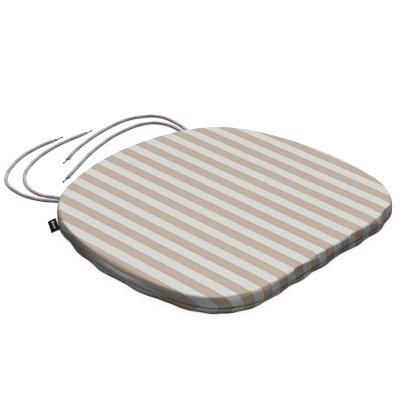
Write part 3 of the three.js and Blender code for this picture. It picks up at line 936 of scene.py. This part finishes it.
class Finish:
    """A principled material with short ways to add nodes to it."""

    def __init__(self, name, roughness, sheen=0.0):
        self.material = bpy.data.materials.new(name)
        self.material.use_nodes = True
        self.tree = self.material.node_tree
        self.shader = self.tree.nodes["Principled BSDF"]
        self.set("Roughness", roughness)
        if sheen:
            self.set("Sheen Weight", sheen)
            self.set("Sheen Roughness", SHEEN_ROUGHNESS)

    def plug(self, value, socket):
        """Sets a socket to a number or colour, or links another socket to it."""
        if isinstance(value, bpy.types.NodeSocket):
            self.tree.links.new(value, socket)
        else:
            socket.default_value = value

    def set(self, name, value):
        self.plug(value, self.shader.inputs[name])

    def make(self, kind, output, inputs, **settings):
        """Adds a node, fills its inputs by name or number, and gives one of its outputs."""
        made = self.tree.nodes.new(kind)
        for name, value in settings.items():
            setattr(made, name, value)
        for name, value in inputs.items():
            self.plug(value, made.inputs[name])
        return made.outputs[output]

    def maths(self, operation, a, b=0.0, c=0.0):
        return self.make("ShaderNodeMath", 0, {0: a, 1: b, 2: c}, operation=operation)

    def scaled(self, value, by, plus=0.0):
        return self.maths("MULTIPLY_ADD", value, by, plus)

    def mix(self, factor, a, b, blend="MIX"):
        inputs = {"Factor": factor, "A": a, "B": b}
        return self.make("ShaderNodeMix", "Result", inputs, data_type="RGBA", blend_type=blend)

    def combine(self, x, y, z=0.0):
        return self.make("ShaderNodeCombineXYZ", 0, {0: x, 1: y, 2: z})

    def separate(self, place):
        return self.make("ShaderNodeSeparateXYZ", 0, {0: place}).node.outputs

    def shaded(self, colour, shade):
        """A colour made lighter or darker by one number."""
        return self.mix(1.0, colour, self.combine(shade, shade, shade), "MULTIPLY")

    def two_tone(self, factor, dark, pale):
        """From one display colour to another, by a factor from 0 to 1."""
        return self.mix(factor, (*linear(*dark), 1), (*linear(*pale), 1))

    def noise(self, place, scale, detail=2.0, output="Fac"):
        inputs = {"Vector": place, "Scale": scale, "Detail": detail}
        return self.make("ShaderNodeTexNoise", output, inputs)

    def ramp(self, value, stops):
        colour = self.make("ShaderNodeValToRGB", "Color", {"Fac": value})
        elements = colour.node.color_ramp.elements
        while len(elements) < len(stops):
            elements.new(1.0)
        for element, (position, tone) in zip(elements, stops):
            element.position = position
            element.color = (*tone, 1.0)
        return colour

    def cloth_lengths(self):
        """The two lengths of the cloth's UV map, in metres."""
        return self.separate(self.make("ShaderNodeUVMap", 0, {}, uv_map=UV_NAME))[:2]

    def object_place(self):
        return self.make("ShaderNodeTexCoord", "Object", {})

    def ribs(self, length, pitch):
        """A sine wave from -1 to 1 that repeats at each pitch."""
        return self.maths("SINE", self.scaled(length, 2 * math.pi / pitch))

    def threads(self, across, along, pitch):
        """Height of a plain weave: each thread rises where it passes over the other set."""
        a, b = self.ribs(across, 2 * pitch), self.ribs(along, 2 * pitch)
        crossing = self.scaled(a, b)
        both = self.maths("ADD", self.maths("ABSOLUTE", a), self.maths("ABSOLUTE", b))
        both = self.scaled(both, RIB_SHARE)
        return self.scaled(crossing, CROSSING_SHARE, both)

    def bump(self, height, distance, strength):
        inputs = {"Strength": strength, "Distance": distance, "Height": height}
        self.set("Normal", self.make("ShaderNodeBump", 0, inputs))

    def colour(self, value):
        self.set("Base Color", value)


# %% Striped cover cloth
STRIPE = 14.6 * MM
FIRST_EDGE = 0.72
OFF_WHITE = linear(222, 223, 219)
CREAM = linear(229, 224, 213)
BEIGE = linear(199, 180, 163)
TAUPE = linear(186, 174, 159)
THREAD_PITCH = 0.5 * MM
TWILL_PITCH = 1.9 * MM
TWILL_SHARE = 0.02
YARN_VARIETY = 0.09
YARN_STRETCH = (0.5, 2.6)
YARN_SCALE = 260
STREAK_SCALE, STREAK_SHARE = 340, 0.44
SLUB_SCALE, SLUB_SHARE = 330, 0.42
PLAIN_SHARE = 0.57
FOLD_SHADE = 0.8


def stripe_phase(finish, length, start):
    """From 0 to 1 over one off-white and one beige stripe."""
    return finish.maths("FRACT", finish.scaled(length, 0.5 / STRIPE, start))


def striped(finish, across, along):
    """The stripes' colour, with a paler and a greyer thread at each woven edge."""
    stripes = finish.ramp(stripe_phase(finish, across, FIRST_EDGE / 2), [
        (0.0, TAUPE), (0.012, CREAM), (0.05, CREAM), (0.09, OFF_WHITE), (0.41, OFF_WHITE),
        (0.45, CREAM), (0.49, CREAM), (0.505, TAUPE), (0.55, TAUPE), (0.6, BEIGE),
        (0.9, BEIGE), (0.95, TAUPE), (1.0, TAUPE),
    ])
    lengths = zip((across, along), YARN_STRETCH)
    weft = finish.combine(*(finish.scaled(length, by) for length, by in lengths))
    tints = finish.noise(weft, YARN_SCALE, output="Color")
    yarns = finish.mix(YARN_VARIETY, (0.5, 0.5, 0.5, 1), tints)
    toned = finish.mix(1.0, stripes, finish.mix(1.0, yarns, (2, 2, 2, 1), "MULTIPLY"), "MULTIPLY")
    slub_place = finish.combine(finish.scaled(across, 5.0), along)
    shade = PLAIN_SHARE
    for wave_height, share in (
        (finish.noise(slub_place, SLUB_SCALE), SLUB_SHARE),
        (finish.noise(weft, STREAK_SCALE, 1.0), STREAK_SHARE),
        (finish.ribs(finish.maths("ADD", across, along), TWILL_PITCH), TWILL_SHARE),
    ):
        shade = finish.scaled(wave_height, share, shade)
    return finish.shaded(toned, shade)


def cover_cloth():
    """The striped weave, with painted shade in the seam's fold and along the foot of the lower
    edge.
    """
    finish = Finish("cover_cloth", 0.88, sheen=0.12)
    across, along = finish.cloth_lengths()
    # Painted shade in the seam's fold and along the foot darkens the stripes.
    fold = finish.make("ShaderNodeAttribute", "Fac", {}, attribute_name=PAINTED_SHADE_LAYER)
    light = finish.scaled(fold, -FOLD_SHADE, 1.0)
    finish.colour(finish.shaded(striped(finish, across, along), light))
    finish.bump(finish.threads(across, along, THREAD_PITCH), 0.12 * MM, 0.5)
    return finish.material


# %% Tie cloth, thread and label
def tie_cloth():
    """The same cloth, cut across its stripes, so they come round the tie one after another."""
    finish = Finish("tie_cloth", 0.88, sheen=0.12)
    along, around = finish.cloth_lengths()
    edge, pale, dark = linear(196, 188, 184), linear(204, 203, 198), linear(197, 185, 181)
    bands = finish.ramp(stripe_phase(finish, along, 0.1), [
        (0.0, edge), (0.04, pale), (0.46, pale), (0.54, dark), (0.96, dark), (1.0, edge),
    ])
    slub = finish.noise(finish.combine(along, finish.scaled(around, 4.0)), 420)
    finish.colour(finish.shaded(bands, finish.scaled(slub, 0.22, 0.88)))
    finish.bump(finish.threads(along, around, THREAD_PITCH), 0.14 * MM, 0.6)
    return finish.material


def sewing_thread():
    """Dark waxed thread, with the twist of its strands."""
    finish = Finish("whipping_thread", 0.7, sheen=0.1)
    along, around = finish.cloth_lengths()
    lean = finish.scaled(around, 2 / MM)
    turn = 2 * math.pi / (0.9 * MM)
    twist = finish.maths("SINE", finish.scaled(along, turn, lean))
    share = finish.scaled(twist, 0.5, 0.5)
    finish.colour(finish.two_tone(share, (86, 88, 78), (128, 130, 118)))
    finish.bump(twist, 0.08 * MM, 0.6)
    return finish.material


LABEL_BAR = ((-2.4 * MM, 6.4 * MM), (5.6 * MM, 0.85 * MM))
LABEL_SQUARE = ((7.6 * MM, 1.9 * MM), (5.6 * MM, 1.9 * MM))


def label_cloth():
    """Black satin tape. The mark is one plain bar and one plain square."""
    finish = Finish("label_cloth", 0.8)
    finish.set("Specular IOR Level", 0.12)
    along, out = finish.cloth_lengths()

    def inside(value, middle, half):
        distance = finish.maths("ABSOLUTE", finish.maths("SUBTRACT", value, middle))
        return finish.maths("LESS_THAN", distance, half)

    bar, square = (
        finish.scaled(inside(along, *mark_along), inside(out, *mark_out))
        for mark_along, mark_out in (LABEL_BAR, LABEL_SQUARE))
    shade = finish.scaled(finish.ribs(out, 0.4 * MM), 0.5, 0.5)
    black = finish.two_tone(shade, (3, 3, 3), (12, 12, 13))
    pale = finish.two_tone(shade, (150, 152, 150), (182, 184, 182))
    finish.colour(finish.mix(finish.maths("MAXIMUM", bar, square), black, pale))
    finish.bump(finish.threads(along, out, 0.3 * MM), 0.08 * MM, 0.5)
    return finish.material


# %% Foam, zip tape, nylon and metal
def foam_finish():
    """Open cells, paler where a cell wall meets the light."""
    finish = Finish("foam", 0.95)
    inputs = {"Vector": finish.object_place(), "Scale": 700}
    cells = finish.make("ShaderNodeTexVoronoi", "Distance", inputs)
    finish.colour(finish.ramp(cells, [
        (0.0, linear(205, 190, 145)), (0.5, linear(238, 228, 190)), (1.0, linear(246, 238, 206)),
    ]))
    finish.bump(cells, 0.5 * MM, 0.6)
    return finish.material


def zip_tape():
    """Herringbone tape: ribs that lean one way and then the other."""
    finish = Finish("zip_tape", 0.85, sheen=0.1)
    x, _, z = finish.separate(finish.object_place())
    ribs = finish.ribs(finish.maths("ADD", x, finish.maths("PINGPONG", z, 1.2 * MM)), 0.6 * MM)
    shade = finish.scaled(ribs, 0.5, 0.5)
    finish.colour(finish.two_tone(shade, (176, 163, 150), (199, 187, 174)))
    finish.bump(ribs, 0.1 * MM, 0.5)
    return finish.material


def zip_nylon():
    """Smooth nylon, a little cloudy."""
    finish = Finish("zip_nylon", 0.36)
    cloud = finish.noise(finish.object_place(), 900, 1.0)
    finish.colour(finish.two_tone(cloud, (198, 186, 172), (219, 209, 197)))
    finish.bump(cloud, 0.05 * MM, 0.3)
    return finish.material


def zip_metal():
    """Tumbled nickel plate, with fine scratches. Half-metallic, as worn plate is dull."""
    finish = Finish("zip_metal", 0.32)
    finish.set("Metallic", 0.6)
    scratches = finish.noise(finish.object_place(), 2400, 3.0)
    finish.colour(finish.two_tone(scratches, (158, 156, 151), (204, 202, 197)))
    finish.set("Roughness", finish.scaled(scratches, 0.25, 0.22))
    finish.bump(scratches, 0.02 * MM, 0.4)
    return finish.material


# %% Give every piece its finish
def dress(piece, material):
    """One finish over the whole piece, whatever slots it came with."""
    piece.data.materials.clear()
    piece.data.materials.append(material)


ZIP_STITCHES = ["zip_stitches_upper", "zip_stitches_lower"]
ZIP_METALWORK = [
    "zip_top_stop_upper", "zip_top_stop_lower", "zip_bottom_stop", "zip_slider", "zip_pull"]
COATS = (
    (cover_cloth, ["top_panel", "bottom_panel"]),
    (tie_cloth, [f"tie_{name}_cloth" for name in ties] + ZIP_STITCHES),
    (sewing_thread, [part + name for name in ties for part in ("end_whipping_", "tail_thread_")]),
    (foam_finish, ["foam_block"]),
    (label_cloth, ["folded_label"]),
    (zip_nylon, ["coil_teeth_upper", "coil_teeth_lower"]),
    (zip_tape, ["zip_tape_upper", "zip_tape_lower"]),
    (zip_metal, ZIP_METALWORK),
)
for make_finish, names in COATS:
    material = make_finish()
    for name in names:
        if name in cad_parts:
            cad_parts[name].material_slots[0].material = material
        else:
            dress(bpy.data.objects[name], material)
    print(material.name, "on", len(names), "pieces")

# %% [markdown]
# ## Floor and light
# One soft light shines from above, a little behind the pad and to the right, so the top is
# evenly bright and the front edges fall off into shade. A weak lamp in front and an even sky
# keep the shaded cloth readable. A white floor would light the edges from below, so this one
# glows white by itself and throws hardly any light back.

# %% Floor
FLOOR_HALF = 6.0
FLOOR_DROP = 0.6 * MM
FLOOR_GLOW = 0.9
FLOOR_BOUNCE = 0.02
FLOOR_GREY = 0.4
floor_corners = [
    (x * FLOOR_HALF, y * FLOOR_HALF, -FLOOR_DROP) for x, y in ((-1, -1), (1, -1), (1, 1), (-1, 1))]
floor = new_piece("floor", floor_corners, [(0, 1, 2, 3)])


def studio_floor():
    """White to look at, dark for the light that it would throw back up."""
    finish = Finish("floor", 0.9)
    seen = finish.make("ShaderNodeLightPath", "Is Camera Ray", {})
    finish.colour(finish.mix(seen, (*[FLOOR_BOUNCE] * 3, 1), (*[FLOOR_GREY] * 3, 1)))
    finish.set("Emission Color", (1, 1, 1, 1))
    finish.set("Emission Strength", finish.scaled(seen, FLOOR_GLOW))
    finish.set("Specular IOR Level", 0.0)
    return finish.material


dress(floor, studio_floor())
print("floor", FLOOR_DROP / MM, "mm below the pad")

# %% Lights
SKY_STRENGTH = 0.17
KEY_FROM = Vector((0.80, 0.50, 2.0))
KEY_STRENGTH = 2.55
KEY_SPREAD = math.radians(25)
FILL_PLACE = Vector((-0.72, -1.05, 0.55))
FILL_WIDTH = 0.5
FILL_POWER = 1.75


def hang_light(name, kind, place, power):
    """A light at a place, turned to face the middle of the pad."""
    data = bpy.data.lights.new(name, kind)
    data.energy = power
    light = bpy.data.objects.new(name, data)
    light.location = place
    light.rotation_mode = "QUATERNION"
    light.rotation_quaternion = (-place).to_track_quat("-Z", "Y")
    scene.collection.objects.link(light)
    return data


sky = bpy.data.worlds.new("sky")
sky.use_nodes = True
sky_light = sky.node_tree.nodes["Background"]
sky_light.inputs["Color"].default_value = (1, 1, 1, 1)
sky_light.inputs["Strength"].default_value = SKY_STRENGTH
scene.world = sky
hang_light("key_light", "SUN", KEY_FROM, KEY_STRENGTH).angle = KEY_SPREAD
hang_light("fill_light", "AREA", FILL_PLACE, FILL_POWER).size = FILL_WIDTH
scene.view_settings.view_transform = "Standard"
scene.view_settings.look = "None"
print("key light from", tuple(KEY_FROM), "and fill light at", tuple(FILL_PLACE))
